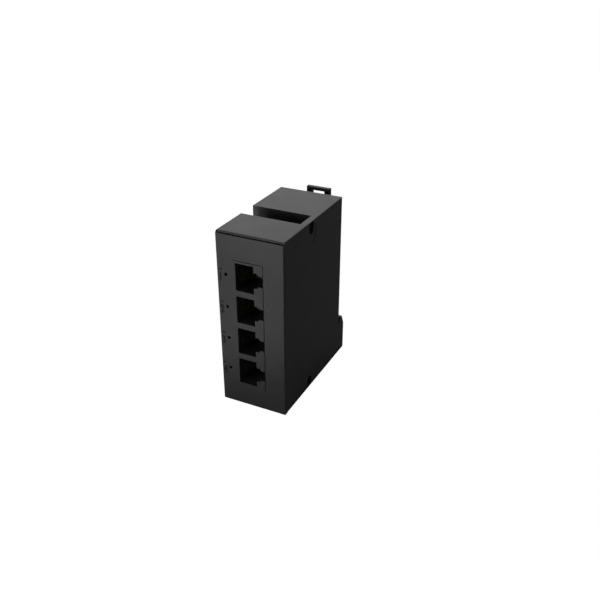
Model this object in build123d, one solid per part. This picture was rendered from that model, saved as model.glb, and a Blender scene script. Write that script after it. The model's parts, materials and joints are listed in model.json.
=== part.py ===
"""Power over ethernet extender in a flat black housing that clips onto a 35 mm mounting rail.

Millimetres. While the pieces are made, X runs from the left wall (0) to the right cover, Y from the
front face (0) to the rear, and Z up from the base (0). The finished pieces are moved so that the
origin lies under the middle of the object.
"""

import os

from build123d import *

# Housing
WIDTH = 28.6
HEIGHT = 75.3
BODY_DEPTH = 53.15
WALL = 2.0
COVER_T = 2.6
SEAM = 0.1
EDGE_R = 0.3
SHORTEST_ROUNDED_EDGE = 1.5

# Front panel and the bevelled lip above it
PANEL_T = 1.9
LIP_BEVEL = 0.85
LIP_SETBACK = 0.25
LIP_GAP = 0.15
RIB_T = 1.2
RIB_DEPTH = 2.0

# Socket block, from its left side to its right: wall, plug opening, latch step, wall
PORT_COUNT = 4
PORT_PITCH = 13.97
BLOCK_DROP = 0.675
BLOCK_BACK = 3.4
BLOCK_PROUD = 0.25
BLOCK_WALL_ABOVE = 0.9
BLOCK_WALL_BELOW = 1.5
WINDOW_GAP = 0.1
SOCKET_WALL = 1.3
SOCKET_WIDTH = 7.84
SOCKET_HEIGHT = 11.45
SOCKET_DEPTH = 12.2
LATCH_STEP = 1.71
LATCH_STEP_HEIGHT = 6.27
LATCH_WALL = 2.05
LATCH_SLOT_HEIGHT = 4.55
LATCH_SLOT_DEPTH = 9.0
CONTACT_COUNT = 8
CONTACT_PITCH = 1.02
CONTACT_W = 0.45
CONTACT_T = 0.3
CONTACT_ROWS_BEHIND = (0.5, 2.2)
CONTACT_FOLD_Y = 3.0
CONTACT_RISE = 2.5
CONTACT_TIP_Y = 9.4
PEG_R = 1.6

# Recess across the top, open to the left
POCKET_BEHIND_BLOCK = 1.85
POCKET_LENGTH = 9.5
POCKET_DEPTH = 12.0
POCKET_WALL = 1.6
POCKET_R = 0.6

# Foot and fixed hook for the rail's lower edge
RAIL_HEIGHT = 35.0
FOOT_REACH = 5.65
FOOT_FLAT_Z = 13.0
HOOK_SLOT_Z = 14.1
HOOK_SLOT_T = 1.8
HOOK_RISE = 3.5
HOOK_LAND = 1.85
HOOK_LAND_DROP = 0.3

# Circuit board, on bosses of the left wall
BOARD_STANDOFF = 3.3
BOARD_T = 1.6
BOARD_GAP = 1.0
BOARD_FRONT_GAP = 0.5
BOARD_REAR_GAP = 0.8
BOARD_BASE_GAP = 2.2
BOARD_TOP_GAP = 1.7
BOSS_R = 2.6
SCREW_R = 1.25
SCREW_HEAD_R = 2.25
SCREW_HEAD_T = 1.7
SCREW_DOME = 0.8
SCREW_LENGTH = 5.6
SCREW_GAP = 0.05
SCREW_INSET = 3.0
SCREW_BAND = 5.8
RECESS_REACH = 1.1
RECESS_HALF = 0.28
RECESS_DEPTH = 0.85

# Port lights
LED_OUT = 1.4
LED_HOLE_R = 0.7
LED_R = 0.9
LED_TIP_GAP = 0.3
LED_LENGTH = 2.4
LED_BASE_LENGTH = 3.0
LEAD_R = 0.25

# Leaded modules and chips, as thickness, length along Y, height along Z
PIN_FOOT = 0.2
PIN_REACH = 1.0
PIN_TOE = 0.4
PIN_T = 0.25
MODULE_SIZE = (4.9, 12.7, 7.4)
MODULE_GAP = 0.8
MODULE_PINS = 8
CONTROLLER_SIZE = (2.3, 7.5, 15.4)
CONTROLLER_PINS = 6
BRIDGE_SIZE = (2.4, 6.4, 8.4)
BRIDGE_PINS = 2
BRIDGE_SPACING = 16.0
CHIP_SIZE = (1.0, 10.0, 10.0)
PAD_T = 0.5
PAD_MARGIN = 0.5
SINK_SIZE = (7.5, 12.0, 12.0)
SINK_BASE_T = 1.5
SINK_FINS = 5
SINK_FIN_T = 0.9
CRYSTAL_SIZE = (3.5, 11.0, 4.2)
INDUCTOR_SIZE = (4.5, 7.3, 7.3)
INDUCTOR_CORNER = 1.2
INDUCTOR_POT_R = 2.4
INDUCTOR_GAP = 0.4
INPUT_CAP_R = 4.0
INPUT_CAP_LENGTH = 11.5
OUTPUT_CAP_R = 2.9
OUTPUT_CAP_LENGTH = 8.2
OUTPUT_CAP_GAP = 0.8
CAP_GROOVE_UP = 1.4

# Supply transformer, wound along Z
CORE_SIZE = (6.2, 12.4, 13.0)
CORE_LEG = 3.0
CORE_WINDOW = (3.0, 8.8)
CORE_STANDOFF = 3.2
BOBBIN_WALL = 0.6
BOBBIN_GAP = 0.15
FLANGE_T = 0.8
FLANGE_SPREAD = 3.0

# Rail clip
CLIP_OFF_CENTRE = 1.5
CLIP_WIDTH = 10.6
CLIP_GAP = 0.3
CLIP_TAB_T = 1.8
CLIP_TAB_RISE = 0.85
CLIP_TAB_BAR = 1.4
CLIP_WINDOW_WIDTH = 5.7
CLIP_WINDOW_HEIGHT = 3.2
CLIP_SHOULDER_DROP = 4.3
CLIP_BITE = 2.2
CLIP_NOSE_FLAT = 0.6
CLIP_SEAT_GAP = 0.3
TONGUE_OUT = 1.1
TONGUE_IN = 1.15
TONGUE_T = 1.8
TONGUE_END_GAPS = (1.2, 1.6)
RUN_GAP = 0.2
GUIDE_WALL = 2.9
GUIDE_ABOVE_RAIL = 2.3
GUIDE_BELOW_TOP = 3.3
GUIDE_SHORT = 0.4
LUG_T = 1.5
LUG_STOP_GAP = 0.1
SPRING_ABOVE_RAIL = 3.0
SPRING_LENGTH = 9.0
SPRING_R = 1.9
SPRING_WIRE_R = 0.3
SPRING_TURNS = 6
SPRING_PEG_R = 1.3
SPRING_PEG_H = 1.4

# Snap tongues and their windows in the cover
SNAP_WINDOW = 3.9
SNAP_ARM_T = 0.9
SNAP_NOSE_DROP = 0.8
SNAP_NOSE_T = 0.6
SNAP_LEDGE_T = 0.8
SNAP_INSET = 1.0
SNAP_POST_T = 1.6
UPPER_SNAP_IN_POCKET = 4.6
UPPER_SNAP_DROPS = (5.5, 0.5)
LOWER_SNAP = (22.3, 5.3, 0.8)
DIMPLE_R = 4.2
DIMPLE_DEPTH = 0.12
GATE_MARK = (14.7, 2.3)
GATE_MARK_R = 0.45
GATE_MARK_DEPTH = 0.25


def spread(sizes, low, high):
    """Middles of things that stand between two limits in a row, with equal gaps."""
    gap = (high - low - sum(sizes)) / (len(sizes) + 1)
    middles = []
    edge = low
    for size in sizes:
        middles.append(edge + gap + size / 2)
        edge += gap + size
    return middles


# Worked out from the sizes above
SHELL_RIGHT = WIDTH - COVER_T
SHELL_FRONT = PANEL_T + SEAM
PANEL_TOP_Z = HEIGHT - LIP_BEVEL - LIP_GAP
REAR_Y = BODY_DEPTH
FOOT_DEPTH = BODY_DEPTH + FOOT_REACH
HOOK_Y = REAR_Y + HOOK_SLOT_T
HOOK_TIP_Z = HOOK_SLOT_Z + HOOK_RISE
RAIL_TOP_Z = HOOK_SLOT_Z + RAIL_HEIGHT
BOARD_LEFT = WALL + BOARD_STANDOFF
BLOCK_X = BOARD_LEFT + BOARD_T
SOCKET_LEFT = BLOCK_X + SOCKET_WALL
SOCKET_RIGHT = SOCKET_LEFT + SOCKET_WIDTH
LATCH_STEP_X = SOCKET_RIGHT + LATCH_STEP
BLOCK_RIGHT = LATCH_STEP_X + LATCH_WALL
BLOCK_DEPTH = SOCKET_DEPTH + BLOCK_BACK
BLOCK_MID_Z = HEIGHT / 2 - BLOCK_DROP
PORT_1_Z = BLOCK_MID_Z + (PORT_COUNT - 1) * PORT_PITCH / 2
PORT_Z = [PORT_1_Z - row * PORT_PITCH for row in range(PORT_COUNT)]
BLOCK_TOP_Z = PORT_Z[0] + SOCKET_HEIGHT / 2 + BLOCK_WALL_ABOVE
BLOCK_BASE_Z = PORT_Z[-1] - SOCKET_HEIGHT / 2 - BLOCK_WALL_BELOW
CONTACT_ROW_Y = [SOCKET_DEPTH + behind for behind in CONTACT_ROWS_BEHIND]
POCKET_FRONT_Y = BLOCK_DEPTH + POCKET_BEHIND_BLOCK + POCKET_WALL
POCKET_REAR_Y = POCKET_FRONT_Y + POCKET_LENGTH
POCKET_FLOOR_Z = HEIGHT - POCKET_DEPTH
LED_X = BOARD_LEFT - LED_OUT
LED_TIP_Y = PANEL_T + LED_TIP_GAP
LED_BASE_Y = LED_TIP_Y + LED_LENGTH
UPPER_SNAP = (POCKET_FRONT_Y + UPPER_SNAP_IN_POCKET, *[HEIGHT - drop for drop in UPPER_SNAP_DROPS])

# Board limits, with the cut-out under the recess
BOARD_FRONT_Y = PANEL_T + BOARD_FRONT_GAP
BOARD_REAR_Y = REAR_Y - WALL - BOARD_REAR_GAP
BOARD_BASE_Z = WALL + BOARD_BASE_GAP
BOARD_TOP_Z = HEIGHT - WALL - BOARD_TOP_GAP
CUT_FRONT_Y = POCKET_FRONT_Y - POCKET_WALL - BOARD_GAP
CUT_REAR_Y = POCKET_REAR_Y + POCKET_WALL + BOARD_GAP
CUT_Z = POCKET_FLOOR_Z - POCKET_WALL - BOARD_GAP

# Places on the board: modules behind the sockets, then a column of power and switch parts
MODULE_Y = BLOCK_DEPTH + MODULE_GAP + MODULE_SIZE[1] / 2
MODULE_TALL = MODULE_SIZE[2] + 2 * PIN_REACH
MODULE_Z = spread([MODULE_TALL] * PORT_COUNT, BOARD_BASE_Z + SCREW_BAND, CUT_Z)[::-1]
COLUMN_FRONT_Y = MODULE_Y + MODULE_SIZE[1] / 2 + MODULE_GAP
COLUMN_Y = (COLUMN_FRONT_Y + BOARD_REAR_Y) / 2
COLUMN_SIZES = [
    2 * INPUT_CAP_R,
    CRYSTAL_SIZE[2],
    SINK_SIZE[2],
    2 * OUTPUT_CAP_R,
    CORE_SIZE[2],
    INDUCTOR_SIZE[2],
]
COLUMN_Z = spread(COLUMN_SIZES, BOARD_BASE_Z, BOARD_TOP_Z)
INPUT_CAP_PLACE = (COLUMN_FRONT_Y + INPUT_CAP_R, COLUMN_Z[0])
CRYSTAL_PLACE = (COLUMN_Y, COLUMN_Z[1])
CHIP_PLACE = (COLUMN_Y, COLUMN_Z[2])
OUTPUT_CAP_STEP = OUTPUT_CAP_R + OUTPUT_CAP_GAP / 2
OUTPUT_CAP_PLACES = [(COLUMN_Y + side * OUTPUT_CAP_STEP, COLUMN_Z[3]) for side in (-1, 1)]
CORE_PLACE = (COLUMN_Y, COLUMN_Z[4])
INDUCTOR_PLACE = (CUT_REAR_Y + INDUCTOR_GAP + INDUCTOR_SIZE[1] / 2, COLUMN_Z[5])
BOARD_MID_Z = (BOARD_BASE_Z + BOARD_TOP_Z) / 2
CONTROLLER_PLACE = (MODULE_Y, BOARD_MID_Z)
BRIDGE_PLACES = [(COLUMN_Y, BOARD_MID_Z + side * BRIDGE_SPACING / 2) for side in (-1, 1)]
SCREW_PLACES = [
    (MODULE_Y, BOARD_BASE_Z + SCREW_INSET),
    (BOARD_REAR_Y - SCREW_INSET, BOARD_BASE_Z + SCREW_INSET),
    (BOARD_REAR_Y - SCREW_INSET, BOARD_TOP_Z - SCREW_INSET),
]

# Clip limits
CLIP_X = WIDTH / 2 + CLIP_OFF_CENTRE
CLIP_FRONT_Y = REAR_Y + CLIP_GAP
CLIP_LEFT = CLIP_X - CLIP_WIDTH / 2
CLIP_RIGHT = CLIP_X + CLIP_WIDTH / 2
CLIP_MID_Y = (CLIP_FRONT_Y + FOOT_DEPTH) / 2
CLIP_SEAT_Z = RAIL_TOP_Z + CLIP_SEAT_GAP
CLIP_SHOULDER_Z = HEIGHT - CLIP_SHOULDER_DROP
CLIP_TAB_TOP = HEIGHT + CLIP_TAB_RISE
GUIDE_Z = (RAIL_TOP_Z + GUIDE_ABOVE_RAIL, HEIGHT - GUIDE_BELOW_TOP)
TONGUE_Y = CLIP_FRONT_Y + TONGUE_IN
TONGUE_Z = (GUIDE_Z[0] + TONGUE_END_GAPS[0], GUIDE_Z[1] - TONGUE_END_GAPS[1])
SPRING_FOOT_Z = RAIL_TOP_Z + SPRING_ABOVE_RAIL
LUG_Z = SPRING_FOOT_Z + SPRING_LENGTH
SLOT_TOP_Z = LUG_Z + LUG_T + LUG_STOP_GAP


def block(x, y, z):
    """Box between two limits along each axis."""
    centre = Pos((x[0] + x[1]) / 2, (y[0] + y[1]) / 2, (z[0] + z[1]) / 2)
    return centre * Box(x[1] - x[0], y[1] - y[0], z[1] - z[0])


def side_plate(points, x_from, x_to):
    """Solid with a (y, z) outline between two X planes."""
    face = make_face(Polyline(*points, close=True))
    return extrude(Plane.YZ.offset(x_from) * face, x_to - x_from)


def front_plate(face, y_from, y_to):
    """Solid with an (x, z) outline between two Y planes."""
    return extrude(Plane.XZ.offset(-y_to) * face, y_to - y_from)


def rod_x(radius, x_from, x_to, y, z):
    """Round bar along X."""
    return extrude(Plane.YZ.offset(x_from) * Pos(y, z) * Circle(radius), x_to - x_from)


def rod_y(radius, y_from, y_to, x, z):
    """Round bar along Y."""
    return front_plate(Pos(x, z) * Circle(radius), y_from, y_to)


def rod_z(radius, z_from, z_to, x, y):
    """Round bar along Z."""
    return extrude(Plane.XY.offset(z_from) * Pos(x, y) * Circle(radius), z_to - z_from)


def around(place, length, height):
    """Y and Z limits of a rectangle centred on a (y, z) place."""
    y, z = place
    return (y - length / 2, y + length / 2), (z - height / 2, z + height / 2)


def on_board(size, place, gap=0.0):
    """Block that stands on the board's right face, centred on a (y, z) place."""
    thick, length, height = size
    return block((BLOCK_X + gap, BLOCK_X + gap + thick), *around(place, length, height))


def body_outline(with_pocket):
    """Side outline of the housing behind the front panel, with the foot and its hook."""
    top = [(REAR_Y, HEIGHT)]
    if with_pocket:
        top += [
            (POCKET_REAR_Y, HEIGHT),
            (POCKET_REAR_Y, POCKET_FLOOR_Z),
            (POCKET_FRONT_Y, POCKET_FLOOR_Z),
            (POCKET_FRONT_Y, HEIGHT),
        ]
    return [
        (SHELL_FRONT, 0),
        (FOOT_DEPTH, 0),
        (FOOT_DEPTH, FOOT_FLAT_Z),
        (HOOK_Y + HOOK_LAND, HOOK_TIP_Z - HOOK_LAND_DROP),
        (HOOK_Y, HOOK_TIP_Z),
        (HOOK_Y, HOOK_SLOT_Z),
        (REAR_Y, HOOK_SLOT_Z),
        *top,
        (LIP_SETBACK + LIP_BEVEL, HEIGHT),
        (LIP_SETBACK, HEIGHT - LIP_BEVEL),
        (SHELL_FRONT, HEIGHT - LIP_BEVEL),
    ]


def cavity_outline(gap=0.0):
    """Outline of the hollow inside the walls, drawn in by a gap."""
    foot_y = FOOT_DEPTH - WALL - gap
    foot_z = HOOK_SLOT_Z - WALL - gap
    rear_y = REAR_Y - WALL - gap
    top_z = HEIGHT - WALL - gap
    base_z = WALL + gap
    pocket_z = POCKET_FLOOR_Z - POCKET_WALL - gap
    return [
        (SHELL_FRONT, base_z),
        (foot_y, base_z),
        (foot_y, foot_z),
        (rear_y, foot_z),
        (rear_y, top_z),
        (POCKET_REAR_Y + POCKET_WALL + gap, top_z),
        (POCKET_REAR_Y + POCKET_WALL + gap, pocket_z),
        (POCKET_FRONT_Y - POCKET_WALL - gap, pocket_z),
        (POCKET_FRONT_Y - POCKET_WALL - gap, top_z),
        (SHELL_FRONT, top_z),
    ]


def outer_rim(solid, x):
    """Edges round the outer side face at an X plane, without the short front and lip edges."""
    face = solid.faces().filter_by(Axis.X).group_by(Axis.X)[0 if x < WIDTH / 2 else -1]
    behind_front = face.edges().filter_by(lambda e: e.center().Y > SHELL_FRONT + SEAM)
    return behind_front.filter_by(lambda e: e.length > SHORTEST_ROUNDED_EDGE)


def snap_heights(snap):
    """Arm limits of a snap and the way from its ledge into the window, 1 up or -1 down."""
    _, ledge_z, open_z = snap
    toward = 1 if open_z > ledge_z else -1
    near = ledge_z + toward * (SNAP_NOSE_DROP + 2 * RUN_GAP)
    return near, near + toward * SNAP_ARM_T, toward


def snap_tongue(snap, root_z):
    """Post with an arm through the cover's window and a round nose that hooks over its ledge."""
    y, ledge_z, _ = snap
    near, far, toward = snap_heights(snap)
    half = SNAP_WINDOW / 2 - RUN_GAP
    sides = (y - half, y + half)
    post_x = (SHELL_RIGHT - SEAM - SNAP_POST_T, SHELL_RIGHT - SEAM)
    tip_x = WIDTH - SNAP_INSET
    round_z = ledge_z + toward * SNAP_WINDOW / 2
    tongue = block(post_x, sides, (root_z, max(near, far)))
    tongue += block((post_x[0], tip_x), sides, sorted((near, far)))
    nose_x = tip_x - SNAP_NOSE_T
    tongue += block((nose_x, tip_x), sides, sorted((round_z, far)))
    return tongue + rod_x(half, nose_x, tip_x, y, round_z)


def clip_guides():
    """Two grooved rails on the rear wall for the clip, and the lug that its spring stands against."""
    rear = FOOT_DEPTH - GUIDE_SHORT
    groove_y = (TONGUE_Y - RUN_GAP, TONGUE_Y + TONGUE_T + RUN_GAP)
    groove_x = TONGUE_OUT + RUN_GAP
    left = CLIP_LEFT - RUN_GAP
    right = CLIP_RIGHT + RUN_GAP
    rails = block((left - GUIDE_WALL, left), (REAR_Y, rear), GUIDE_Z)
    rails += block((right, right + GUIDE_WALL), (REAR_Y, rear), GUIDE_Z)
    outer = rails.edges().filter_by(Axis.Z).group_by(Axis.Y)[-1]
    rails = fillet(outer, EDGE_R)
    grooves = block((left - groove_x, left), groove_y, GUIDE_Z)
    grooves += block((right, right + groove_x), groove_y, GUIDE_Z)
    half = CLIP_WINDOW_WIDTH / 2 - CLIP_GAP
    lug_rear = CLIP_MID_Y + SPRING_R
    lug = block((CLIP_X - half, CLIP_X + half), (REAR_Y, lug_rear), (LUG_Z, LUG_Z + LUG_T))
    peg = rod_z(SPRING_PEG_R, LUG_Z - SPRING_PEG_H, LUG_Z, CLIP_X, CLIP_MID_Y)
    return rails - grooves + lug + peg


def board_bosses():
    """Posts on the left wall that carry the board, with a pilot hole in each."""
    posts = []
    for y, z in SCREW_PLACES:
        post = rod_x(BOSS_R, WALL, BOARD_LEFT, y, z)
        posts.append(post - rod_x(SCREW_R + SCREW_GAP, WALL, BOARD_LEFT, y, z))
    return posts


def housing_shell():
    """Moulded tray: left wall, top, base, rear wall, recess, foot and hook."""
    tray = side_plate(body_outline(True), 0, SHELL_RIGHT)
    floor_edges = tray.edges().filter_by(Axis.X).filter_by(
        lambda e: abs(e.center().Z - POCKET_FLOOR_Z) < SEAM
    )
    tray = fillet(floor_edges, POCKET_R)
    tray = fillet(outer_rim(tray, 0), EDGE_R)
    tray -= side_plate(cavity_outline(), WALL, SHELL_RIGHT)
    for boss in board_bosses():
        tray += boss
    tray += clip_guides()
    tray += snap_tongue(UPPER_SNAP, POCKET_FLOOR_Z)
    tray += snap_tongue(LOWER_SNAP, WALL)
    return tray


def snap_window(snap):
    """Cut for one snap: a window with one round end, where a ledge is left inside."""
    y, ledge_z, open_z = snap
    near, _, toward = snap_heights(snap)
    half = SNAP_WINDOW / 2
    sides = (y - half, y + half)
    ledge_x = SHELL_RIGHT + SNAP_LEDGE_T
    round_z = ledge_z + toward * half
    slot = block((ledge_x, WIDTH), sides, sorted((round_z, open_z)))
    slot += rod_x(half, ledge_x, WIDTH, y, round_z)
    return slot + block((SHELL_RIGHT, WIDTH), sides, sorted((near - toward * RUN_GAP, open_z)))


def side_cover():
    """Right-hand cover plate with a locating rib, two snap windows and the mould marks."""
    plate = side_plate(body_outline(False), SHELL_RIGHT, WIDTH)
    plate = fillet(outer_rim(plate, WIDTH), EDGE_R)
    rib = side_plate(cavity_outline(RUN_GAP), SHELL_RIGHT - RIB_T, SHELL_RIGHT)
    rib -= side_plate(cavity_outline(RUN_GAP + RIB_T), SHELL_RIGHT - RIB_T, SHELL_RIGHT)
    rib -= block((0, WIDTH), (0, SHELL_FRONT + RIB_DEPTH + RUN_GAP), (0, HEIGHT))
    y, high_z, _ = LOWER_SNAP
    rib -= block((0, WIDTH), (y - SNAP_WINDOW, y + SNAP_WINDOW), (0, high_z))
    plate += rib
    upper_y, _, upper_top = UPPER_SNAP
    plate -= rod_x(DIMPLE_R, WIDTH - DIMPLE_DEPTH, WIDTH, upper_y, upper_top - DIMPLE_R)
    plate -= snap_window(UPPER_SNAP)
    plate -= snap_window(LOWER_SNAP)
    plate -= rod_x(GATE_MARK_R, WIDTH - GATE_MARK_DEPTH, WIDTH, *GATE_MARK)
    return plate


def front_panel():
    """Flat front with the socket window, the light holes and ribs that locate it in the tray."""
    panel = block((0, WIDTH), (0, PANEL_T), (0, PANEL_TOP_Z))
    front_edges = panel.faces().sort_by(Axis.Y)[0].edges().filter_by(Axis.Z)
    panel = fillet(front_edges, EDGE_R)
    rib_y = (PANEL_T, PANEL_T + RIB_DEPTH)
    rib_x = (WALL + 2 * RUN_GAP, SHELL_RIGHT - RIB_T - RUN_GAP)
    low_z = WALL + RUN_GAP
    high_z = HEIGHT - WALL - RUN_GAP
    panel += block(rib_x, rib_y, (low_z, low_z + RIB_T))
    panel += block(rib_x, rib_y, (high_z - RIB_T, high_z))
    window_x = (BLOCK_X - WINDOW_GAP, BLOCK_RIGHT + WINDOW_GAP)
    window_z = (BLOCK_BASE_Z - WINDOW_GAP, BLOCK_TOP_Z + WINDOW_GAP)
    panel -= block(window_x, (0, PANEL_T), window_z)
    for z in PORT_Z:
        panel -= rod_y(LED_HOLE_R, 0, PANEL_T, LED_X, z)
    return panel


def socket_outline(z):
    """Stepped opening of one socket: plug body on the left, latch steps on the right."""
    body = SOCKET_HEIGHT / 2
    step = LATCH_STEP_HEIGHT / 2
    return [
        (SOCKET_LEFT, z - body),
        (SOCKET_RIGHT, z - body),
        (SOCKET_RIGHT, z - step),
        (LATCH_STEP_X, z - step),
        (LATCH_STEP_X, z + step),
        (SOCKET_RIGHT, z + step),
        (SOCKET_RIGHT, z + body),
        (SOCKET_LEFT, z + body),
    ]


def contact_z():
    """Heights of a socket's contacts above the socket's centre."""
    first = -(CONTACT_COUNT - 1) * CONTACT_PITCH / 2
    return [first + n * CONTACT_PITCH for n in range(CONTACT_COUNT)]


def peg_places():
    """Where the block's two pegs go through the board, between its outer pairs of sockets."""
    y = CONTACT_ROW_Y[0] / 2
    return [(y, PORT_Z[0] - PORT_PITCH / 2), (y, PORT_Z[-1] + PORT_PITCH / 2)]


def jack_block():
    """Four sockets side by side in one moulded block, with channels for the contacts."""
    body = block(
        (BLOCK_X, BLOCK_RIGHT),
        (-BLOCK_PROUD, BLOCK_DEPTH),
        (BLOCK_BASE_Z, BLOCK_TOP_Z),
    )
    channel_x = SOCKET_LEFT - CONTACT_T - 3 * RUN_GAP
    channel_front = CONTACT_FOLD_Y - 3 * CONTACT_T
    pin_front = CONTACT_ROW_Y[0] - CONTACT_T
    half = CONTACT_COUNT * CONTACT_PITCH / 2 + RUN_GAP
    slot = LATCH_SLOT_HEIGHT / 2
    for z in PORT_Z:
        opening = make_face(Polyline(*socket_outline(z), close=True))
        body -= front_plate(opening, -BLOCK_PROUD, SOCKET_DEPTH)
        latch_y = (-BLOCK_PROUD, LATCH_SLOT_DEPTH)
        body -= block((LATCH_STEP_X, BLOCK_RIGHT), latch_y, (z - slot, z + slot))
        channel_z = (z - half, z + half)
        body -= block((channel_x, SOCKET_LEFT), (channel_front, BLOCK_DEPTH), channel_z)
        body -= block((BLOCK_X, channel_x), (pin_front, BLOCK_DEPTH), channel_z)
    for y, z in peg_places():
        body += rod_x(PEG_R, BOARD_LEFT, BLOCK_X, y, z)
    return body


def port_contacts(z):
    """Eight bent wires: a pin through the board, a run along the wall, and a sprung finger."""
    run_x = SOCKET_LEFT - CONTACT_T
    wires = []
    for n, dz in enumerate(contact_z()):
        pin_y = CONTACT_ROW_Y[n % 2]
        path = Polyline(
            (BOARD_LEFT - CONTACT_T, pin_y),
            (run_x, pin_y),
            (run_x, CONTACT_FOLD_Y),
            (SOCKET_LEFT + CONTACT_RISE, CONTACT_TIP_Y),
        )
        strip = trace(path, CONTACT_T)
        wires.append(Pos(0, 0, z + dz - CONTACT_W / 2) * extrude(strip, CONTACT_W))
    return wires


def led_leads(z):
    """(y, z) places of a port light's two leads."""
    y = LED_BASE_Y + LED_BASE_LENGTH / 2
    return [(y, z - LED_R), (y, z + LED_R)]


def main_board():
    """Board outline with the cut-out under the recess, screw holes, peg holes and pin slots."""
    outline = [
        (BOARD_FRONT_Y, BOARD_BASE_Z),
        (BOARD_REAR_Y, BOARD_BASE_Z),
        (BOARD_REAR_Y, BOARD_TOP_Z),
        (CUT_REAR_Y, BOARD_TOP_Z),
        (CUT_REAR_Y, CUT_Z),
        (CUT_FRONT_Y, CUT_Z),
        (CUT_FRONT_Y, BOARD_TOP_Z),
        (BOARD_FRONT_Y, BOARD_TOP_Z),
    ]
    board = side_plate(outline, BOARD_LEFT, BLOCK_X)
    for y, z in SCREW_PLACES:
        board -= rod_x(SCREW_R + SCREW_GAP, BOARD_LEFT, BLOCK_X, y, z)
    for y, z in peg_places():
        board -= rod_x(PEG_R + SCREW_GAP, BOARD_LEFT, BLOCK_X, y, z)
    half = CONTACT_COUNT * CONTACT_PITCH / 2
    for z in PORT_Z:
        for y in CONTACT_ROW_Y:
            row_y = (y - CONTACT_T, y + CONTACT_T)
            board -= block((BOARD_LEFT, BLOCK_X), row_y, (z - half, z + half))
        for lead_y, lead_z in led_leads(z):
            board -= rod_x(LEAD_R + SCREW_GAP, BOARD_LEFT, BLOCK_X, lead_y, lead_z)
    return board


def port_led(z):
    """Small lamp that lies on the board's left face and points at its hole in the panel."""
    base_y = (LED_BASE_Y, LED_BASE_Y + LED_BASE_LENGTH)
    lamp = rod_y(LED_R, LED_TIP_Y + LED_R, LED_BASE_Y, LED_X, z)
    lamp += Pos(LED_X, LED_TIP_Y + LED_R, z) * Sphere(LED_R)
    lamp += block((LED_X - LED_OUT, BOARD_LEFT), base_y, (z - LED_OUT, z + LED_OUT))
    for lead_y, lead_z in led_leads(z):
        lamp += rod_x(LEAD_R, LED_X, BLOCK_X, lead_y, lead_z)
    return lamp


def leaded_body(size, place, x_from, pins, side=1):
    """Moulded module with a row of bent leads along both Z ends, standing on one board face."""
    thick, length, height = size
    y, z = place
    body_x = (x_from + side * PIN_FOOT, x_from + side * (PIN_FOOT + thick))
    body = block(sorted(body_x), *around(place, length, height))
    top_face = body.faces().filter_by(Axis.X).sort_by(Axis.X)[-1 if side > 0 else 0]
    body = chamfer(top_face.edges(), PIN_FOOT)
    pitch = length / pins
    lead_half = pitch / 4
    knee_x = x_from + side * (PIN_FOOT + thick / 3)
    under_x = knee_x - side * PIN_T
    for end in (-1, 1):
        root_z = z + end * (height / 2 - PIN_FOOT)
        outer_z = z + end * (height / 2 + PIN_REACH)
        toe_z = outer_z - end * PIN_TOE
        strip = [
            (knee_x, root_z),
            (knee_x, outer_z),
            (x_from, outer_z),
            (x_from, toe_z),
            (under_x, toe_z),
            (under_x, root_z),
        ]
        lead = front_plate(make_face(Polyline(*strip, close=True)), -lead_half, lead_half)
        for n in range(pins):
            body += Pos(0, y - length / 2 + (n + 0.5) * pitch, 0) * lead
    return body


def port_magnetics(number):
    """Isolating transformer module of one socket."""
    return leaded_body(MODULE_SIZE, (MODULE_Y, MODULE_Z[number]), BLOCK_X, MODULE_PINS)


def switch_chip():
    """Square flat chip with a bevelled marker corner."""
    chip = on_board(CHIP_SIZE, CHIP_PLACE)
    corner = chip.edges().filter_by(Axis.X).group_by(Axis.Y)[0].sort_by(Axis.Z)[-1]
    return chamfer(corner, CHIP_SIZE[0])


def thermal_pad():
    """Soft pad between the chip and its heat sink."""
    _, length, height = CHIP_SIZE
    size = (PAD_T, length - 2 * PAD_MARGIN, height - 2 * PAD_MARGIN)
    return on_board(size, CHIP_PLACE, gap=CHIP_SIZE[0])


def heat_sink():
    """Finned block that stands on the pad."""
    thick, length, height = SINK_SIZE
    gap = CHIP_SIZE[0] + PAD_T
    sink = on_board((SINK_BASE_T, length, height), CHIP_PLACE, gap=gap)
    y, z = CHIP_PLACE
    reach = (length - SINK_FIN_T) / 2
    pitch = 2 * reach / (SINK_FINS - 1)
    for n in range(SINK_FINS):
        place = (y - reach + n * pitch, z)
        sink += on_board((thick, SINK_FIN_T, height), place, gap=gap)
    return sink


def core_half(side):
    """E-shaped ferrite half, above (1) or below (-1) the middle plane."""
    thick, length, height = CORE_SIZE
    window_y, window_z = CORE_WINDOW
    y, z = CORE_PLACE
    x = (BLOCK_X + CORE_STANDOFF, BLOCK_X + CORE_STANDOFF + thick)
    near = z + side * SEAM / 4
    half = block(x, (y - length / 2, y + length / 2), sorted((near, z + side * height / 2)))
    for step in (-1, 1):
        inner = y + step * CORE_LEG / 2
        window = sorted((inner, inner + step * window_y))
        half -= block(x, window, sorted((near, z + side * window_z / 2)))
    return half


def bobbin_tube(grow):
    """X and Y limits of a box round the core's middle leg."""
    core_x = BLOCK_X + CORE_STANDOFF
    y = CORE_PLACE[0]
    half = CORE_LEG / 2 + grow
    return (core_x - grow, core_x + CORE_SIZE[0] + grow), (y - half, y + half)


def bobbin_flanges():
    """Limits of the bobbin's flanges: X, Y and the two Z places."""
    y, z = CORE_PLACE
    reach = CORE_LEG / 2 + CORE_WINDOW[0] - BOBBIN_GAP
    x = (BLOCK_X, BLOCK_X + CORE_STANDOFF + CORE_SIZE[0] + FLANGE_SPREAD)
    low = z - CORE_WINDOW[1] / 2 + BOBBIN_GAP
    high = z + CORE_WINDOW[1] / 2 - BOBBIN_GAP
    return x, (y - reach, y + reach), (low, high)


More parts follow.
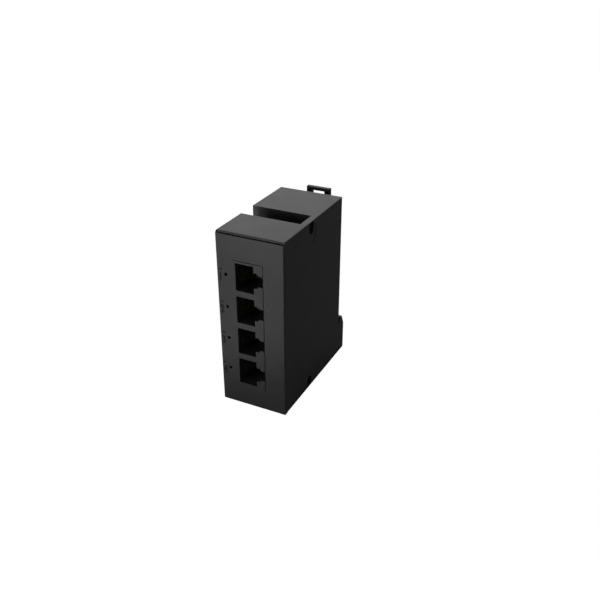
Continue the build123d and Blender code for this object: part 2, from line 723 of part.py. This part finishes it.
def transformer_bobbin():
    """Tube round the core's middle leg, with a flange at each end that stands on the board."""
    x, y, (low, high) = bobbin_flanges()
    bobbin = block(*bobbin_tube(BOBBIN_GAP + BOBBIN_WALL), (low, high))
    bobbin += block(x, y, (low, low + FLANGE_T))
    bobbin += block(x, y, (high - FLANGE_T, high))
    return bobbin - block(*bobbin_tube(BOBBIN_GAP), (low, high))


def transformer_winding():
    """Wound and taped wire between the flanges."""
    _, (y_low, y_high), (low, high) = bobbin_flanges()
    tube_x, tube_y = bobbin_tube(BOBBIN_GAP + BOBBIN_WALL)
    depth = y_high - BOBBIN_GAP - tube_y[1]
    x = (tube_x[0] - depth, tube_x[1] + depth)
    y = (y_low + BOBBIN_GAP, y_high - BOBBIN_GAP)
    coil = block(x, y, (low + FLANGE_T, high - FLANGE_T))
    coil = fillet(coil.edges().filter_by(Axis.Z), depth)
    return coil - block(tube_x, tube_y, (low, high))


def capacitor(radius, length, place):
    """Round aluminium can that stands on the board, with a rolled groove near its foot."""
    y, z = place
    can = rod_x(radius, BLOCK_X, BLOCK_X + length, y, z)
    can = fillet(can.edges().sort_by(Axis.X)[-1], EDGE_R)
    groove_x = BLOCK_X + CAP_GROOVE_UP
    groove = rod_x(radius, groove_x, groove_x + EDGE_R, y, z)
    groove -= rod_x(radius - EDGE_R, groove_x, groove_x + EDGE_R, y, z)
    return can - groove


def output_capacitors():
    """Two cans side by side."""
    return [capacitor(OUTPUT_CAP_R, OUTPUT_CAP_LENGTH, place) for place in OUTPUT_CAP_PLACES]


def power_inductor():
    """Square shielded coil with bevelled corners."""
    body = on_board(INDUCTOR_SIZE, INDUCTOR_PLACE)
    body = chamfer(body.edges().filter_by(Axis.X), INDUCTOR_CORNER)
    top_x = BLOCK_X + INDUCTOR_SIZE[0]
    return body - rod_x(INDUCTOR_POT_R, top_x - EDGE_R, top_x, *INDUCTOR_PLACE)


def power_controller():
    """Wide chip with two rows of leads, on the board's left face."""
    return leaded_body(CONTROLLER_SIZE, CONTROLLER_PLACE, BOARD_LEFT, CONTROLLER_PINS, side=-1)


def rectifier_bridges():
    """Two four-lead bridges on the board's left face."""
    return [
        leaded_body(BRIDGE_SIZE, place, BOARD_LEFT, BRIDGE_PINS, side=-1)
        for place in BRIDGE_PLACES
    ]


def crystal():
    """Flat metal can with round ends."""
    thick, length, height = CRYSTAL_SIZE
    face = Pos(*CRYSTAL_PLACE) * SlotOverall(length, height)
    return extrude(Plane.YZ.offset(BLOCK_X) * face, thick)


def board_screws():
    """Pan-head screws with a cross recess, through the board into the bosses."""
    screws = []
    head_x = BLOCK_X + SCREW_HEAD_T
    for y, z in SCREW_PLACES:
        head = rod_x(SCREW_HEAD_R, BLOCK_X, head_x, y, z)
        head = fillet(head.edges().sort_by(Axis.X)[-1], SCREW_DOME)
        screw = head + rod_x(SCREW_R, head_x - SCREW_LENGTH, BLOCK_X, y, z)
        for length, height in ((RECESS_REACH, RECESS_HALF), (RECESS_HALF, RECESS_REACH)):
            screw -= block((head_x - RECESS_DEPTH, head_x), *around((y, z), 2 * length, 2 * height))
        screws.append(screw)
    return screws


def rail_clip():
    """Sliding clip: nose behind the rail's upper edge, side tongues, spring slot and pull tab."""
    nose_z = RAIL_TOP_Z - CLIP_BITE
    ramp = FOOT_DEPTH - HOOK_Y - CLIP_NOSE_FLAT
    tab_y = FOOT_DEPTH - CLIP_TAB_T
    outline = [
        (HOOK_Y, nose_z),
        (FOOT_DEPTH - ramp, nose_z),
        (FOOT_DEPTH, nose_z + ramp),
        (FOOT_DEPTH, CLIP_TAB_TOP),
        (tab_y, CLIP_TAB_TOP),
        (tab_y, CLIP_SHOULDER_Z + CLIP_TAB_T / 2),
        (tab_y - CLIP_TAB_T / 2, CLIP_SHOULDER_Z),
        (CLIP_FRONT_Y, CLIP_SHOULDER_Z),
        (CLIP_FRONT_Y, CLIP_SEAT_Z),
        (HOOK_Y, CLIP_SEAT_Z),
    ]
    clip = side_plate(outline, CLIP_LEFT, CLIP_RIGHT)
    tongue_x = (CLIP_LEFT - TONGUE_OUT, CLIP_RIGHT + TONGUE_OUT)
    clip += block(tongue_x, (TONGUE_Y, TONGUE_Y + TONGUE_T), TONGUE_Z)
    half = CLIP_WINDOW_WIDTH / 2
    opening_x = (CLIP_X - half, CLIP_X + half)
    through_y = (CLIP_FRONT_Y, FOOT_DEPTH)
    clip -= block(opening_x, through_y, (SPRING_FOOT_Z, SLOT_TOP_Z))
    window_top = CLIP_TAB_TOP - CLIP_TAB_BAR
    clip -= block(opening_x, through_y, (window_top - CLIP_WINDOW_HEIGHT, window_top))
    peg_z = SPRING_FOOT_Z + SPRING_PEG_H
    return clip + rod_z(SPRING_PEG_R, SPRING_FOOT_Z, peg_z, CLIP_X, CLIP_MID_Y)


def clip_spring():
    """Wire spring between the clip and the lug on the rear wall."""
    height = SPRING_LENGTH - 2 * (SPRING_WIRE_R + SEAM)
    line = Helix(height / SPRING_TURNS, height, SPRING_R)
    wire = sweep(Plane(line @ 0, z_dir=line % 0) * Circle(SPRING_WIRE_R), path=line)
    return Pos(CLIP_X, CLIP_MID_Y, SPRING_FOOT_Z + SPRING_WIRE_R + SEAM) * wire


def all_pieces():
    """Every piece by its name, at its place in the housing."""
    pieces = {
        "housing_shell": housing_shell(),
        "side_cover": side_cover(),
        "front_panel": front_panel(),
        "jack_block": jack_block(),
        "main_board": main_board(),
        "switch_chip": switch_chip(),
        "thermal_pad": thermal_pad(),
        "heat_sink": heat_sink(),
        "core_half_upper": core_half(1),
        "core_half_lower": core_half(-1),
        "transformer_bobbin": transformer_bobbin(),
        "transformer_winding": transformer_winding(),
        "input_capacitor": capacitor(INPUT_CAP_R, INPUT_CAP_LENGTH, INPUT_CAP_PLACE),
        "output_capacitors": output_capacitors(),
        "power_inductor": power_inductor(),
        "rectifier_bridges": rectifier_bridges(),
        "power_controller": power_controller(),
        "crystal": crystal(),
        "board_screws": board_screws(),
        "rail_clip": rail_clip(),
        "clip_spring": clip_spring(),
    }
    for number, z in enumerate(PORT_Z):
        pieces[f"port_{number + 1}_contacts"] = port_contacts(z)
        pieces[f"port_{number + 1}_led"] = port_led(z)
        pieces[f"port_{number + 1}_magnetics"] = port_magnetics(number)
    return pieces


def main():
    """Writes each piece to its own file, with the origin under the middle of the object."""
    os.makedirs("parts", exist_ok=True)
    middle_y = (FOOT_DEPTH - BLOCK_PROUD) / 2
    to_origin = Pos(-WIDTH / 2, -middle_y, 0)
    for name, piece in all_pieces().items():
        solids = piece if isinstance(piece, list) else [piece]
        moved = [to_origin * solid for solid in solids]
        shape = moved[0] if len(moved) == 1 else Compound(children=moved)
        export_step(shape, f"parts/{name}.step")


main()
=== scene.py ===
"""Looks of the power over ethernet extender: finishes, port numbers, spring, studio light, camera.

Metres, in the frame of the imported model: +Z up, the sockets face -Y and the cover plate is at +X.
"""

import json
import math

import bmesh
import bpy
from mathutils import Euler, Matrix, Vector

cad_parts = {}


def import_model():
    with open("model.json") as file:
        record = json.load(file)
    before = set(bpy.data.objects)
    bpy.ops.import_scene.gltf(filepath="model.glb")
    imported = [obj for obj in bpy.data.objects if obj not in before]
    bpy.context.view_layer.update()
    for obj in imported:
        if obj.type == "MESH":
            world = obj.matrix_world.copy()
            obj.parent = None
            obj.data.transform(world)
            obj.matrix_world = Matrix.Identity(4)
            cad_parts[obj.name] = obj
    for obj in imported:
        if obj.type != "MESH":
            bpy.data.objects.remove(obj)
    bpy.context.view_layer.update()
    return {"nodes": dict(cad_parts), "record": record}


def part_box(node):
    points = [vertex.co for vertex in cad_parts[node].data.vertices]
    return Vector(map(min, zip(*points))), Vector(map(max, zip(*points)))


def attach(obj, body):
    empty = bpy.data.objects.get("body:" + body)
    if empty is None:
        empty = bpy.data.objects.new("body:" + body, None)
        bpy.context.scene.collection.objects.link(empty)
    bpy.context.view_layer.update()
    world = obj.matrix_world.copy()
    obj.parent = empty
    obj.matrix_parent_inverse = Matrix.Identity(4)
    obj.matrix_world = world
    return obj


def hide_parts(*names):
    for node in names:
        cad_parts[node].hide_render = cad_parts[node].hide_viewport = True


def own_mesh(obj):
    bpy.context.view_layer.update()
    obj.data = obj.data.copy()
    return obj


MM = 0.001
WELD_DISTANCE = 0.0005 * MM
CUT_MARGIN = 1.0 * MM

# Camera, fitted to the photograph's corners
CAMERA_PLACE = (0.12248, -0.23713, 0.17864)
CAMERA_AZIMUTH = math.radians(26.059)
CAMERA_ELEVATION = math.radians(28.257)
CAMERA_LENS = 43.28
CAMERA_SENSOR = 36.0

# Marks beside each port light: a plain number and a short bar above it
NUMBER_HEIGHT = 3.3 * MM
NUMBER_FROM_LEFT = 1.5 * MM
NUMBER_NARROWED = 0.66
NUMBER_BELOW_LIGHT = 1.5 * MM
NUMBER_BOLD = 0.22 * MM
CAPITAL_SHARE = 0.7
BAR_ABOVE_LIGHT = 1.9 * MM
BAR_SIZE = (1.3 * MM, 0.6 * MM)
PRINT_T = 0.03 * MM

# Groove under the front lip, from the panel's top edge up and from the front back
GROOVE_HEIGHT = 0.75 * MM
GROOVE_DEPTH = 1.15 * MM
GROOVE_END = 0.25 * MM

# Distance of the snap tips inside the face of the cover plate
SNAP_SUNK = 1.5 * MM

# Spring of the rail clip
SPRING_WIRE_R = 0.3 * MM
SPRING_OPEN_TURNS = 5.0
SPRING_END_TURNS = 1.0
SPRING_STEPS = 24
SPRING_SIDES = 12

# Studio: each lamp's name, place, target, size, spread in degrees and power in watts
FLOOR_HALF = 6.0
FLOOR_GREY = 0.55
FLOOR_SHINE = 0.0
FLOOR_GLOW = 0.98
FLOOR_SHADE = 0.25
BACKDROP_WHITE = 1.0
WORLD_LIGHT = 0.10
WORLD_SHINE = 0.64
LAMPS = (
    ("floor_close", (-0.03, -0.085, 0.16), (-0.03, -0.085, 0.0), 0.03, 24, 0.010),
    ("floor_near", (-0.06, -0.17, 0.30), (-0.06, -0.17, 0.0), 0.06, 46, 0.018),
    ("floor_low", (-0.10, -0.40, 0.02), (-0.02, -0.03, 0.04), 0.10, 50, 0.062),
    ("left_low", (-0.20, -0.32, 0.09), (0.0, -0.03, 0.06), 0.12, 60, 0.025),
    ("rear", (-0.25, 0.55, 0.35), (0.0, 0.0, 0.06), 0.60, 180, 0.52),
)

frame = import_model()
nodes = frame["nodes"]


class Graph:
    """Node tree of one material, laid over the object's own coordinates in metres."""

    def __init__(self, name):
        self.material = bpy.data.materials.new(name)
        self.material.use_nodes = True
        self.tree = self.material.node_tree
        self.shader = self.tree.nodes["Principled BSDF"]
        self.place = self.node("ShaderNodeTexCoord").outputs["Object"]

    def node(self, kind):
        return self.tree.nodes.new(kind)

    def link(self, source, target):
        self.tree.links.new(source, target)

    def stretched(self, scale):
        """Coordinates scaled by a different amount along each axis."""
        mapping = self.node("ShaderNodeMapping")
        mapping.inputs["Scale"].default_value = scale
        self.link(self.place, mapping.inputs["Vector"])
        return mapping.outputs["Vector"]

    def noise(self, grain, detail=2.0, rough=0.5, place=None):
        """Noise whose features are about one grain across, from 0 to 1."""
        texture = self.node("ShaderNodeTexNoise")
        texture.inputs["Scale"].default_value = 1.0 / grain
        texture.inputs["Detail"].default_value = detail
        texture.inputs["Roughness"].default_value = rough
        self.link(place or self.place, texture.inputs["Vector"])
        return texture.outputs["Fac"]

    def between(self, value, low, high, out_low, out_high):
        """A value carried from one range to another, held at the ends."""
        remap = self.node("ShaderNodeMapRange")
        for name, number in (
            ("From Min", low),
            ("From Max", high),
            ("To Min", out_low),
            ("To Max", out_high),
        ):
            remap.inputs[name].default_value = number
        self.link(value, remap.inputs["Value"])
        return remap.outputs["Result"]

    def colours(self, value, stops):
        """A colour ramp from (position, (r, g, b)) stops."""
        ramp = self.node("ShaderNodeValToRGB")
        elements = ramp.color_ramp.elements
        for spare in range(len(stops) - len(elements)):
            elements.new(0.5)
        for element, (position, colour) in zip(elements, stops):
            element.position = position
            element.color = (*colour, 1.0)
        self.link(value, ramp.inputs["Fac"])
        return ramp.outputs["Color"]

    def bump(self, height, depth, strength, under=None):
        """A bump of a real depth in metres, laid over another one where given."""
        node = self.node("ShaderNodeBump")
        node.inputs["Distance"].default_value = depth
        node.inputs["Strength"].default_value = strength
        self.link(height, node.inputs["Height"])
        if under:
            self.link(under, node.inputs["Normal"])
        return node.outputs["Normal"]

    def set(self, **values):
        """Plain numbers and colours straight on the shader's sockets."""
        for name, value in values.items():
            self.shader.inputs[name.replace("_", " ")].default_value = value

    def feed(self, **sources):
        """Links into the shader's sockets."""
        for name, source in sources.items():
            self.link(source, self.shader.inputs[name.replace("_", " ")])


def shade(colour, factor):
    return tuple(min(1.0, channel * factor) for channel in colour)


def moulding(name, colour, roughness, grain, depth, level=0.5):
    """Moulded plastic: fine eroded texture, faint flow clouds, slightly uneven gloss."""
    graph = Graph(name)
    clouds = graph.noise(14 * MM, 2.0, 0.5, graph.stretched((1.0, 0.7, 0.35)))
    tones = ((0.3, shade(colour, 0.93)), (0.5, colour), (0.7, shade(colour, 1.07)))
    sparks = graph.noise(grain, 2.0, 0.5)
    gloss = graph.noise(11 * MM, 1.0)
    waves = graph.noise(16 * MM, 1.0)
    hollow = graph.bump(waves, 0.03 * MM, 0.2)
    graph.set(Specular_IOR_Level=level)
    graph.feed(
        Base_Color=graph.colours(clouds, tones),
        Roughness=graph.between(gloss, 0.3, 0.7, roughness - 0.02, roughness + 0.02),
        Normal=graph.bump(sparks, depth, 0.8, hollow),
    )
    return graph.material


def drawn_metal(name, colour, roughness, along, grain):
    """Metal with fine lines drawn along one axis."""
    graph = Graph(name)
    scale = [1.0, 1.0, 1.0]
    scale[along] = 0.04
    lines = graph.noise(grain, 4.0, 0.65, graph.stretched(scale))
    stain = graph.noise(2.5 * MM, 2.0)
    tones = ((0.25, shade(colour, 0.78)), (0.6, colour), (0.9, shade(colour, 1.15)))
    graph.set(Metallic=1.0)
    graph.feed(
        Base_Color=graph.colours(stain, tones),
        Roughness=graph.between(lines, 0.3, 0.7, roughness - 0.07, roughness + 0.1),
        Normal=graph.bump(lines, 0.004 * MM, 0.6),
    )
    return graph.material


def laminate(name):
    """Circuit board: solder mask over tracks, with glass weave under it."""
    graph = Graph(name)
    tracks = graph.node("ShaderNodeTexBrick")
    tracks.inputs["Scale"].default_value = 420.0
    tracks.inputs["Mortar Size"].default_value = 0.06
    tracks.inputs["Mortar Smooth"].default_value = 0.2
    tracks.inputs["Color1"].default_value = (0.008, 0.075, 0.028, 1.0)
    tracks.inputs["Color2"].default_value = (0.006, 0.055, 0.022, 1.0)
    tracks.inputs["Mortar"].default_value = (0.02, 0.13, 0.045, 1.0)
    swing = graph.node("ShaderNodeMapping")
    swing.inputs["Rotation"].default_value = (0.0, math.pi / 2, 0.0)
    graph.link(graph.place, swing.inputs["Vector"])
    graph.link(swing.outputs["Vector"], tracks.inputs["Vector"])
    weave = graph.noise(0.5 * MM, 1.0)
    ridge = graph.bump(tracks.outputs["Fac"], 0.03 * MM, 0.6)
    graph.set(Coat_Weight=0.3, Coat_Roughness=0.15)
    graph.feed(
        Base_Color=tracks.outputs["Color"],
        Roughness=graph.between(weave, 0.3, 0.7, 0.28, 0.4),
        Normal=graph.bump(weave, 0.006 * MM, 0.4, ridge),
    )
    return graph.material


def epoxy(name, colour):
    """Moulded chip body: fine grain, a little dust, a dull sheen."""
    graph = Graph(name)
    grain = graph.noise(0.12 * MM, 2.0)
    dust = graph.noise(1.6 * MM, 3.0, 0.7)
    tones = ((0.35, colour), (0.75, shade(colour, 1.6)))
    graph.feed(
        Base_Color=graph.colours(dust, tones),
        Roughness=graph.between(grain, 0.3, 0.7, 0.5, 0.66),
        Normal=graph.bump(grain, 0.006 * MM, 0.6),
    )
    return graph.material


def soft_pad(name, colour):
    """Filled silicone pad: matt, a little waxy."""
    graph = Graph(name)
    lumps = graph.noise(0.7 * MM, 2.0)
    graph.set(Subsurface_Weight=0.08, Subsurface_Scale=0.5 * MM)
    graph.feed(
        Base_Color=graph.colours(lumps, ((0.3, shade(colour, 0.85)), (0.7, shade(colour, 1.1)))),
        Roughness=graph.between(lumps, 0.3, 0.7, 0.6, 0.8),
        Normal=graph.bump(lumps, 0.02 * MM, 0.5),
    )
    return graph.material


def sintered(name, colour):
    """Ground ferrite: fine pits and lapping marks."""
    graph = Graph(name)
    pits = graph.noise(0.2 * MM, 4.0, 0.7)
    laps = graph.noise(0.3 * MM, 2.0, 0.5, graph.stretched((1.0, 0.06, 1.0)))
    graph.set(Metallic=0.35)
    graph.feed(
        Base_Color=graph.colours(pits, ((0.3, shade(colour, 0.6)), (0.6, colour))),
        Roughness=graph.between(laps, 0.3, 0.7, 0.42, 0.62),
        Normal=graph.bump(pits, 0.01 * MM, 0.7),
    )
    return graph.material


def wound_tape(name, colour):
    """Insulating tape over a winding: faint ridges of the wires below."""
    graph = Graph(name)
    wires = graph.node("ShaderNodeTexWave")
    wires.bands_direction = "Z"
    wires.inputs["Scale"].default_value = 260.0
    wires.inputs["Distortion"].default_value = 0.6
    graph.link(graph.place, wires.inputs["Vector"])
    creases = graph.noise(1.2 * MM, 3.0)
    ridges = graph.bump(wires.outputs["Fac"], 0.06 * MM, 0.5)
    graph.set(Coat_Weight=0.4, Coat_Roughness=0.2)
    graph.feed(
        Base_Color=graph.colours(creases, ((0.3, shade(colour, 0.8)), (0.7, colour))),
        Roughness=graph.between(creases, 0.3, 0.7, 0.25, 0.45),
        Normal=graph.bump(creases, 0.02 * MM, 0.3, ridges),
    )
    return graph.material


def tinted_lens(name, colour):
    """Diffusing lamp lens, unlit."""
    graph = Graph(name)
    cloud = graph.noise(0.4 * MM, 2.0)
    graph.set(Transmission_Weight=0.25, IOR=1.49, Coat_Weight=0.4, Coat_Roughness=0.1)
    graph.feed(
        Base_Color=graph.colours(cloud, ((0.3, shade(colour, 0.8)), (0.7, shade(colour, 1.2)))),
        Roughness=graph.between(cloud, 0.3, 0.7, 0.2, 0.35),
        Normal=graph.bump(cloud, 0.004 * MM, 0.4),
    )
    return graph.material


def finishes():
    """One finished material for each slot of the record."""
    black = (0.018, 0.018, 0.0183)
    return {
        "housing_plastic": moulding("housing_black", black, 0.42, 0.25 * MM, 0.003 * MM),
        "socket_plastic": moulding("socket_black", shade(black, 0.95), 0.42, 0.2 * MM, 0.002 * MM),
        "clip_plastic": moulding("clip_black", shade(black, 0.5), 0.42, 0.3 * MM, 0.003 * MM, 0.35),
        "bobbin_plastic": moulding("bobbin_black", shade(black, 1.3), 0.5, 0.2 * MM, 0.01 * MM),
        "spring_steel": drawn_metal("spring_wire", (0.5, 0.5, 0.52), 0.26, 0, 0.05 * MM),
        "screw_steel": drawn_metal("screw_zinc", (0.55, 0.56, 0.58), 0.3, 1, 0.12 * MM),
        "crystal_can": drawn_metal("crystal_tin", (0.6, 0.6, 0.6), 0.22, 1, 0.1 * MM),
        "sink_aluminium": drawn_metal("sink_drawn", (0.62, 0.63, 0.65), 0.32, 2, 0.12 * MM),
        "capacitor_can": drawn_metal("can_drawn", (0.6, 0.61, 0.63), 0.25, 0, 0.15 * MM),
        # Contact gold dimmed far below real plating: painted shade for the dark inside the ports
        "contact_brass": drawn_metal("contact_gold_painted_shade", (0.17, 0.125, 0.06), 0.45, 1, 0.04 * MM),
        "board_laminate": laminate("board_green"),
        "chip_epoxy": epoxy("chip_body", (0.018, 0.018, 0.02)),
        "module_epoxy": epoxy("module_body", (0.022, 0.022, 0.022)),
        "pad_rubber": soft_pad("pad_grey", (0.32, 0.36, 0.44)),
        "ferrite": sintered("ferrite_grey", (0.075, 0.075, 0.08)),
        "winding_tape": wound_tape("tape_yellow", (0.75, 0.5, 0.04)),
        "lamp_lens": tinted_lens("lens_clear", (0.10, 0.12, 0.10)),
    }


def paint(obj, material):
    """The whole object in one material."""
    obj.data.materials.clear()
    obj.data.materials.append(material)


def dress_nodes(materials):
    """Each carried-over node in its slot's material."""
    for part in frame["record"]["subparts"]:
        paint(nodes[part["node"]], materials[part["material_slot"]])


def mesh_object(name, mesh_maker):
    """New object at the origin from a function that fills a bmesh."""
    mesh = bpy.data.meshes.new(name)
    work = bmesh.new()
    mesh_maker(work)
    bmesh.ops.recalc_face_normals(work, faces=work.faces)
    work.to_mesh(mesh)
    work.free()
    obj = bpy.data.objects.new(name, mesh)
    bpy.context.scene.collection.objects.link(obj)
    return obj


def spring_height(turn, turns, low, high):
    """Height of the wire's middle at a turn: closed end turns, evenly open ones between."""
    wire = 2 * SPRING_WIRE_R
    closed = SPRING_END_TURNS * wire
    if turn < SPRING_END_TURNS:
        return low + turn * wire
    if turn > turns - SPRING_END_TURNS:
        return high - (turns - turn) * wire
    share = (turn - SPRING_END_TURNS) / (turns - 2 * SPRING_END_TURNS)
    return low + closed + share * (high - low - 2 * closed)


def coil_spring():
    """Compression spring with closed ends, in the place of the model's clip spring, which it hides.
    """
    low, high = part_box("clip_spring")
    middle = (low + high) / 2
    radius = (high.x - low.x) / 2 - SPRING_WIRE_R
    turns = SPRING_OPEN_TURNS + 2 * SPRING_END_TURNS
    count = int(turns * SPRING_STEPS)

    def fill(work):
        rings = []
        for step in range(count + 1):
            turn = step / SPRING_STEPS
            angle = 2 * math.pi * turn
            height = spring_height(turn, turns, low.z + SPRING_WIRE_R, high.z - SPRING_WIRE_R)
            outward = Vector((math.cos(angle), math.sin(angle), 0.0))
            centre = Vector((middle.x, middle.y, height)) + outward * radius
            ring = []
            for side in range(SPRING_SIDES):
                around = 2 * math.pi * side / SPRING_SIDES
                offset = outward * math.cos(around) + Vector((0.0, 0.0, math.sin(around)))
                ring.append(work.verts.new(centre + offset * SPRING_WIRE_R))
            rings.append(ring)
        for first, second in zip(rings, rings[1:]):
            for side in range(SPRING_SIDES):
                other = (side + 1) % SPRING_SIDES
                work.faces.new((first[side], first[other], second[other], second[side]))
        work.faces.new(rings[0])
        work.faces.new(rings[-1])

    spring = mesh_object("clip_spring_wire", fill)
    for face in spring.data.polygons:
        face.use_smooth = len(face.vertices) == 4
    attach(spring, "housing")
    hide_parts("clip_spring")
    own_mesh(spring)
    return spring


def cut_away(node, name, low, high):
    """A hidden box that rides the housing and takes its share out of a node."""

    def fill(work):
        bmesh.ops.create_cube(work, size=1.0)
        bmesh.ops.scale(work, verts=work.verts, vec=high - low)
        bmesh.ops.translate(work, verts=work.verts, vec=(low + high) / 2)

    box = mesh_object(name, fill)
    box.hide_render = True
    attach(box, "housing")
    if "joined" not in nodes[node].modifiers:
        join = nodes[node].modifiers.new("joined", "WELD")
        join.merge_threshold = WELD_DISTANCE
    cut = nodes[node].modifiers.new(name, "BOOLEAN")
    cut.operation = "DIFFERENCE"
    cut.object = box


def lip_groove():
    """Dark groove under the lip, open at the cover plate and closed at the left end."""
    panel_low, panel_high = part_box("front_panel")
    before = panel_low.y - CUT_MARGIN
    under = panel_high.z - CUT_MARGIN
    low = Vector((panel_low.x + GROOVE_END, before, under))
    right = panel_high.x + CUT_MARGIN
    high = Vector((right, panel_low.y + GROOVE_DEPTH, panel_high.z + GROOVE_HEIGHT))
    for node in ("housing_shell", "side_cover"):
        cut_away(node, f"groove_{node}", low, high)


def sunk_snaps():
    """Tips of the housing's snap tongues, set deeper in the windows of the cover plate."""
    cover_low, cover_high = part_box("side_cover")
    margin = Vector((CUT_MARGIN, CUT_MARGIN, CUT_MARGIN))
    low = cover_low - margin
    low.x = cover_high.x - SNAP_SUNK
    cut_away("housing_shell", "snap_tips", low, cover_high + margin)


def port_mark(number, left, front, height, ink):
    """A plain number with a short bar above it, printed on the front beside a port light."""
    text = bpy.data.curves.new(f"port_{number}_text", "FONT")
    text.body = str(number)
    text.size = NUMBER_HEIGHT / CAPITAL_SHARE
    text.align_x = "CENTER"
    text.align_y = "CENTER"
    text.extrude = PRINT_T / 2
    text.offset = NUMBER_BOLD
    holder = bpy.data.objects.new(f"port_{number}_holder", text)
    holder.rotation_euler = (math.pi / 2, 0.0, 0.0)
    holder.scale = (NUMBER_NARROWED, 1.0, 1.0)
    across = left + NUMBER_FROM_LEFT
    holder.location = (across, front - PRINT_T / 2, height - NUMBER_BELOW_LIGHT)
    bpy.context.scene.collection.objects.link(holder)
    bpy.context.view_layer.update()
    mesh = bpy.data.meshes.new_from_object(holder)
    mesh.transform(holder.matrix_world)
    bpy.data.objects.remove(holder)

    work = bmesh.new()
    work.from_mesh(mesh)
    bar = bmesh.ops.create_cube(work, size=1.0)["verts"]
    bmesh.ops.scale(work, verts=bar, vec=(BAR_SIZE[0], PRINT_T, BAR_SIZE[1]))
    shift = (across, front - PRINT_T / 2, height + BAR_ABOVE_LIGHT)
    bmesh.ops.translate(work, verts=bar, vec=shift)
    work.to_mesh(mesh)
    work.free()
    mark = bpy.data.objects.new(f"port_{number}_number", mesh)
    bpy.context.scene.collection.objects.link(mark)
    paint(mark, ink)
    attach(mark, "housing")
    return mark


def port_marks(ink):
    """One mark for each port, at the height of its light."""
    low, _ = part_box("front_panel")
    for number in range(1, 5):
        lamp_low, lamp_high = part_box(f"port_{number}_led")
        port_mark(number, low.x, low.y, (lamp_low.z + lamp_high.z) / 2, ink)


def by_ray(tree, shown, others):
    """The first shader, replaced by another one for each kind of ray that is named."""
    path = tree.nodes.new("ShaderNodeLightPath")
    for ray, shader in others:
        choose = tree.nodes.new("ShaderNodeMixShader")
        tree.links.new(path.outputs[ray], choose.inputs["Fac"])
        tree.links.new(shown, choose.inputs[1])
        tree.links.new(shader, choose.inputs[2])
        shown = choose.outputs[0]
    return shown


def pale_surface(tree, grey, glow):
    """Matt grey surface that also glows."""
    matt = tree.nodes.new("ShaderNodeBsdfDiffuse")
    matt.inputs["Color"].default_value = (grey, grey, grey, 1.0)
    light = tree.nodes.new("ShaderNodeEmission")
    light.inputs["Strength"].default_value = glow
    both = tree.nodes.new("ShaderNodeAddShader")
    tree.links.new(matt.outputs[0], both.inputs[0])
    tree.links.new(light.outputs[0], both.inputs[1])
    return both.outputs[0]


def floor():
    """Pale floor: white to the camera with a soft shadow, dimmer in reflections."""
    mesh = bpy.data.meshes.new("floor")
    corners = [(-1, -1), (1, -1), (1, 1), (-1, 1)]
    verts = [(x * FLOOR_HALF, y * FLOOR_HALF, 0.0) for x, y in corners]
    mesh.from_pydata(verts, [], [(0, 1, 2, 3)])
    plane = bpy.data.objects.new("floor", mesh)
    bpy.context.scene.collection.objects.link(plane)
    material = bpy.data.materials.new("floor_pale")
    material.use_nodes = True
    tree = material.node_tree
    tree.nodes.clear()
    shader = by_ray(
        tree,
        pale_surface(tree, FLOOR_GREY, 0.0),
        (
            ("Is Glossy Ray", pale_surface(tree, FLOOR_GREY, FLOOR_SHINE)),
            ("Is Camera Ray", pale_surface(tree, FLOOR_SHADE, FLOOR_GLOW)),
        ),
    )
    out = tree.nodes.new("ShaderNodeOutputMaterial")
    tree.links.new(shader, out.inputs["Surface"])
    paint(plane, material)


def backdrop(tree, strength):
    """White world of one strength."""
    background = tree.nodes.new("ShaderNodeBackground")
    background.inputs["Color"].default_value = (1.0, 1.0, 1.0, 1.0)
    background.inputs["Strength"].default_value = strength
    return background.outputs[0]


def world():
    """White backdrop to the camera, bright in reflections, soft grey light for the rest."""
    scene_world = bpy.data.worlds.new("studio")
    bpy.context.scene.world = scene_world
    scene_world.use_nodes = True
    tree = scene_world.node_tree
    tree.nodes.clear()
    shader = by_ray(
        tree,
        backdrop(tree, WORLD_LIGHT),
        (
            ("Is Glossy Ray", backdrop(tree, WORLD_SHINE)),
            ("Is Camera Ray", backdrop(tree, BACKDROP_WHITE)),
        ),
    )
    out = tree.nodes.new("ShaderNodeOutputWorld")
    tree.links.new(shader, out.inputs["Surface"])


def lamps():
    """Soft square lamps, each aimed at a point of the object."""
    for name, place, target, size, spread, power in LAMPS:
        light = bpy.data.lights.new(name, "AREA")
        light.size = size
        light.spread = math.radians(spread)
        light.energy = power
        lamp = bpy.data.objects.new(name, light)
        lamp.location = place
        aim = Vector(target) - Vector(place)
        lamp.rotation_euler = aim.to_track_quat("-Z", "Y").to_euler()
        bpy.context.scene.collection.objects.link(lamp)


def camera():
    """Camera at the photograph's angle and distance."""
    data = bpy.data.cameras.new("camera")
    data.lens = CAMERA_LENS
    data.sensor_width = CAMERA_SENSOR
    data.clip_start = 0.005
    data.clip_end = 50.0
    view = bpy.data.objects.new("camera", data)
    view.location = CAMERA_PLACE
    view.rotation_euler = Euler((math.pi / 2 - CAMERA_ELEVATION, 0.0, CAMERA_AZIMUTH))
    bpy.context.scene.collection.objects.link(view)
    bpy.context.scene.camera = view


materials = finishes()
dress_nodes(materials)
lip_groove()
sunk_snaps()
paint(coil_spring(), materials["spring_steel"])
port_marks(moulding("print_dark", (0.01, 0.01, 0.01), 0.6, 0.1 * MM, 0.003 * MM, 0.16))
floor()
world()
lamps()
camera()
bpy.context.scene.view_settings.view_transform = "Standard"
